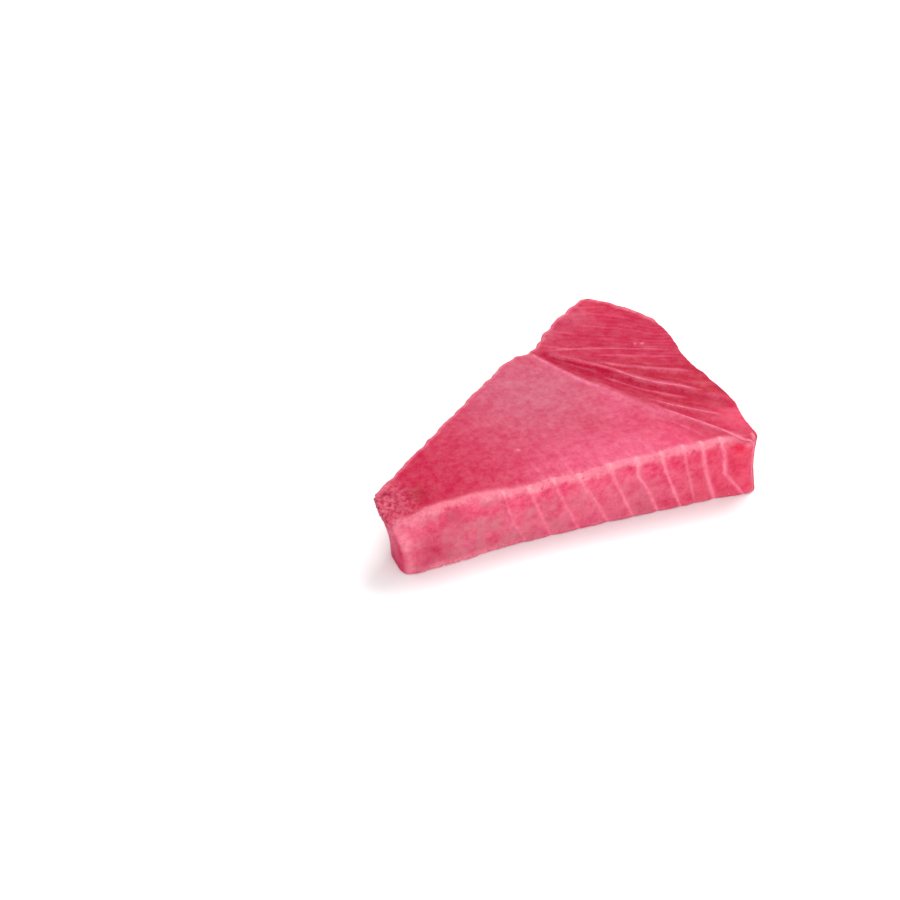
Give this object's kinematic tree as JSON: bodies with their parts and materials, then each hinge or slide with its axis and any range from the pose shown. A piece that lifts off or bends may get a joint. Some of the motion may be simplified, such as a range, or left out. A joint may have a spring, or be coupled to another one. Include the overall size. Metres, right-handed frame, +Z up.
{
  "type": "raw tuna steak",
  "caption": "Thick raw tuna steak, a slab cut across the loin: a blunt narrow tail, a long seamed cut side, and a back notch from which the folds of the flesh fan out.",
  "frame": {"origin": "on the flat underside, below the middle of the steak's bounding box", "axes": "+Z up, out of the upper cut face; +X along the long cut side, from the tail end to the heel; +Y from the long cut side towards the notch"},
  "size_m": [0.1528, 0.1124, 0.0288],
  "materials": {
    "flesh": "moist raw fish flesh, satin, with pale seams of connective tissue"
  },
  "bodies": {
    "root": {"tuna_steak": "flesh"}
  },
  "joints": []
}
